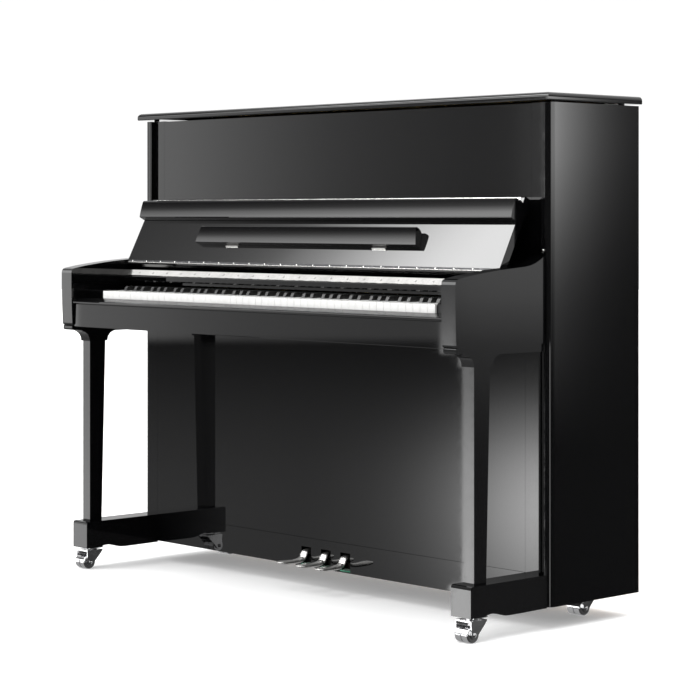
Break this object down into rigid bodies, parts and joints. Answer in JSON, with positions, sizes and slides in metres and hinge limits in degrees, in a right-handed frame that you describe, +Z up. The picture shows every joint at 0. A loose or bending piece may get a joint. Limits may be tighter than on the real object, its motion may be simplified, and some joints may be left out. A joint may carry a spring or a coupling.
{
  "type": "upright piano",
  "caption": "High-gloss black upright piano with open folding fallboard, full keyboard, free-standing front legs, pedals and casters.",
  "frame": {"origin": "on the floor, under the middle of the piano's plan outline", "axes": "+Z up, +X towards the treble end, -Y towards the player, +Y towards the wall"},
  "size_m": [1.502, 0.596, 1.208],
  "materials": {
    "black_polyester": "high-gloss black polyester lacquer over board",
    "raw_wood": "plain sealed wood",
    "spruce": "varnished spruce",
    "nickel_plate": "nickel-plated steel",
    "pedal_metal": "polished nickel-plated cast metal",
    "caster_chrome": "chromed steel",
    "felt": "green felt",
    "rubber_buttons": "black rubber",
    "white_keys": "spruce sticks with glossy white acrylic tops and fronts",
    "black_keys": "spruce sticks with satin black tops",
    "gold_plate": "bronze-lacquered cast iron",
    "string_steel": "bright wire and blued pins",
    "action_wood": "maple and felt"
  },
  "bodies": {
    "case": {"side_panel_left": "black_polyester", "side_panel_right": "black_polyester", "stiles": "black_polyester", "upper_panel": "black_polyester", "lower_panel": "black_polyester", "bottom_rail": "black_polyester", "arm_left": "black_polyester", "arm_right": "black_polyester", "leg_left": "black_polyester", "leg_right": "black_polyester", "toe_left": "black_polyester", "toe_right": "black_polyester", "key_slip": "black_polyester", "key_blocks": "black_polyester", "hinge_rail": "black_polyester", "bottom_board": "raw_wood", "key_bed": "raw_wood", "key_frame": "raw_wood", "trapwork": "raw_wood", "back_frame": "raw_wood", "pin_block": "raw_wood", "soundboard": "spruce", "lid_hinge": "nickel_plate", "hinge_strip": "nickel_plate", "side_studs": "nickel_plate", "caster_plates": "caster_chrome", "pedal_felts": "felt", "lid_buttons": "rubber_buttons", "iron_plate": "gold_plate", "strings": "string_steel", "action": "action_wood"},
    "lid": {"top_lid": "black_polyester"},
    "fallboard": {"fallboard": "black_polyester", "fallboard_fittings": "nickel_plate"},
    "fallboard_lip": {"fallboard_lip": "black_polyester"},
    "music_desk": {"music_desk": "black_polyester"},
    "keys_c": {"keys_c": "white_keys"},
    "keys_c_sharp": {"keys_c_sharp": "black_keys"},
    "keys_d": {"keys_d": "white_keys"},
    "keys_d_sharp": {"keys_d_sharp": "black_keys"},
    "keys_e": {"keys_e": "white_keys"},
    "keys_f": {"keys_f": "white_keys"},
    "keys_f_sharp": {"keys_f_sharp": "black_keys"},
    "keys_g": {"keys_g": "white_keys"},
    "keys_g_sharp": {"keys_g_sharp": "black_keys"},
    "keys_a": {"keys_a": "white_keys"},
    "keys_a_sharp": {"keys_a_sharp": "black_keys"},
    "keys_b": {"keys_b": "white_keys"},
    "pedal_left": {"pedal_left": "pedal_metal"},
    "pedal_middle": {"pedal_middle": "pedal_metal"},
    "pedal_right": {"pedal_right": "pedal_metal"},
    "caster_swivel_front_left": {"caster_fork_front_left": "caster_chrome"},
    "caster_wheels_front_left": {"caster_wheel_front_left": "caster_chrome"},
    "caster_swivel_front_right": {"caster_fork_front_right": "caster_chrome"},
    "caster_wheels_front_right": {"caster_wheel_front_right": "caster_chrome"},
    "caster_swivel_rear_left": {"caster_fork_rear_left": "caster_chrome"},
    "caster_wheels_rear_left": {"caster_wheel_rear_left": "caster_chrome"},
    "caster_swivel_rear_right": {"caster_fork_rear_right": "caster_chrome"},
    "caster_wheels_rear_right": {"caster_wheel_rear_right": "caster_chrome"}
  },
  "joints": [
    {"name": "lid_hinge_turn", "type": "hinge", "parent": "case", "child": "lid", "pos_m": [0, 0.2964, 1.1882], "axis": [-1, 0, 0], "range_deg": [0, 100]},
    {"name": "fallboard_turn", "type": "hinge", "parent": "case", "child": "fallboard", "pos_m": [0, -0.099, 0.808], "axis": [-1, 0, 0], "range_deg": [-123, 0]},
    {"name": "lip_fold", "type": "hinge", "parent": "fallboard", "child": "fallboard_lip", "pos_m": [0, -0.03684, 0.96377], "axis": [1, 0, 0], "range_deg": [-90, 0]},
    {"name": "desk_fold", "type": "hinge", "parent": "fallboard", "child": "music_desk", "pos_m": [0, -0.09413, 0.85346], "axis": [1, 0, 0], "range_deg": [0, 90]},
    {"name": "keys_c_press", "type": "hinge", "parent": "case", "child": "keys_c", "pos_m": [0, -0.021, 0.705], "axis": [1, 0, 0], "range_deg": [0, 2.55], "stiffness_Nm_per_rad": 120, "springref_deg": -1.72},
    {"name": "keys_c_sharp_press", "type": "hinge", "parent": "case", "child": "keys_c_sharp", "pos_m": [0, -0.021, 0.705], "axis": [1, 0, 0], "range_deg": [0, 2.55], "stiffness_Nm_per_rad": 120, "springref_deg": -1.72},
    {"name": "keys_d_press", "type": "hinge", "parent": "case", "child": "keys_d", "pos_m": [0, -0.021, 0.705], "axis": [1, 0, 0], "range_deg": [0, 2.55], "stiffness_Nm_per_rad": 120, "springref_deg": -1.72},
    {"name": "keys_d_sharp_press", "type": "hinge", "parent": "case", "child": "keys_d_sharp", "pos_m": [0, -0.021, 0.705], "axis": [1, 0, 0], "range_deg": [0, 2.55], "stiffness_Nm_per_rad": 120, "springref_deg": -1.72},
    {"name": "keys_e_press", "type": "hinge", "parent": "case", "child": "keys_e", "pos_m": [0, -0.021, 0.705], "axis": [1, 0, 0], "range_deg": [0, 2.55], "stiffness_Nm_per_rad": 120, "springref_deg": -1.72},
    {"name": "keys_f_press", "type": "hinge", "parent": "case", "child": "keys_f", "pos_m": [0, -0.021, 0.705], "axis": [1, 0, 0], "range_deg": [0, 2.55], "stiffness_Nm_per_rad": 120, "springref_deg": -1.72},
    {"name": "keys_f_sharp_press", "type": "hinge", "parent": "case", "child": "keys_f_sharp", "pos_m": [0, -0.021, 0.705], "axis": [1, 0, 0], "range_deg": [0, 2.55], "stiffness_Nm_per_rad": 120, "springref_deg": -1.72},
    {"name": "keys_g_press", "type": "hinge", "parent": "case", "child": "keys_g", "pos_m": [0, -0.021, 0.705], "axis": [1, 0, 0], "range_deg": [0, 2.55], "stiffness_Nm_per_rad": 120, "springref_deg": -1.72},
    {"name": "keys_g_sharp_press", "type": "hinge", "parent": "case", "child": "keys_g_sharp", "pos_m": [0, -0.021, 0.705], "axis": [1, 0, 0], "range_deg": [0, 2.55], "stiffness_Nm_per_rad": 120, "springref_deg": -1.72},
    {"name": "keys_a_press", "type": "hinge", "parent": "case", "child": "keys_a", "pos_m": [0, -0.021, 0.705], "axis": [1, 0, 0], "range_deg": [0, 2.55], "stiffness_Nm_per_rad": 120, "springref_deg": -1.72},
    {"name": "keys_a_sharp_press", "type": "hinge", "parent": "case", "child": "keys_a_sharp", "pos_m": [0, -0.021, 0.705], "axis": [1, 0, 0], "range_deg": [0, 2.55], "stiffness_Nm_per_rad": 120, "springref_deg": -1.72},
    {"name": "keys_b_press", "type": "hinge", "parent": "case", "child": "keys_b", "pos_m": [0, -0.021, 0.705], "axis": [1, 0, 0], "range_deg": [0, 2.55], "stiffness_Nm_per_rad": 120, "springref_deg": -1.72},
    {"name": "pedal_left_press", "type": "hinge", "parent": "case", "child": "pedal_left", "pos_m": [-0.073, 0.08, 0.09], "axis": [1, 0, 0], "range_deg": [0, 4], "stiffness_Nm_per_rad": 60, "springref_deg": -5.73},
    {"name": "pedal_middle_press", "type": "hinge", "parent": "case", "child": "pedal_middle", "pos_m": [0, 0.08, 0.09], "axis": [1, 0, 0], "range_deg": [0, 4], "stiffness_Nm_per_rad": 60, "springref_deg": -5.73},
    {"name": "pedal_right_press", "type": "hinge", "parent": "case", "child": "pedal_right", "pos_m": [0.071, 0.08, 0.09], "axis": [1, 0, 0], "range_deg": [0, 4], "stiffness_Nm_per_rad": 60, "springref_deg": -5.73},
    {"name": "swivel_front_left", "type": "hinge", "parent": "case", "child": "caster_swivel_front_left", "pos_m": [-0.702, -0.221, 0.05], "axis": [0, 0, 1], "continuous": true},
    {"name": "wheel_front_left", "type": "hinge", "parent": "caster_swivel_front_left", "child": "caster_wheels_front_left", "pos_m": [-0.702, -0.239, 0.0185], "axis": [1, 0, 0], "continuous": true},
    {"name": "swivel_front_right", "type": "hinge", "parent": "case", "child": "caster_swivel_front_right", "pos_m": [0.702, -0.221, 0.05], "axis": [0, 0, 1], "continuous": true},
    {"name": "wheel_front_right", "type": "hinge", "parent": "caster_swivel_front_right", "child": "caster_wheels_front_right", "pos_m": [0.702, -0.239, 0.0185], "axis": [1, 0, 0], "continuous": true},
    {"name": "swivel_rear_left", "type": "hinge", "parent": "case", "child": "caster_swivel_rear_left", "pos_m": [-0.642, 0.214, 0.05], "axis": [0, 0, 1], "continuous": true},
    {"name": "wheel_rear_left", "type": "hinge", "parent": "caster_swivel_rear_left", "child": "caster_wheels_rear_left", "pos_m": [-0.642, 0.196, 0.0185], "axis": [1, 0, 0], "continuous": true},
    {"name": "swivel_rear_right", "type": "hinge", "parent": "case", "child": "caster_swivel_rear_right", "pos_m": [0.642, 0.214, 0.05], "axis": [0, 0, 1], "continuous": true},
    {"name": "wheel_rear_right", "type": "hinge", "parent": "caster_swivel_rear_right", "child": "caster_wheels_rear_right", "pos_m": [0.642, 0.196, 0.0185], "axis": [1, 0, 0], "continuous": true}
  ]
}
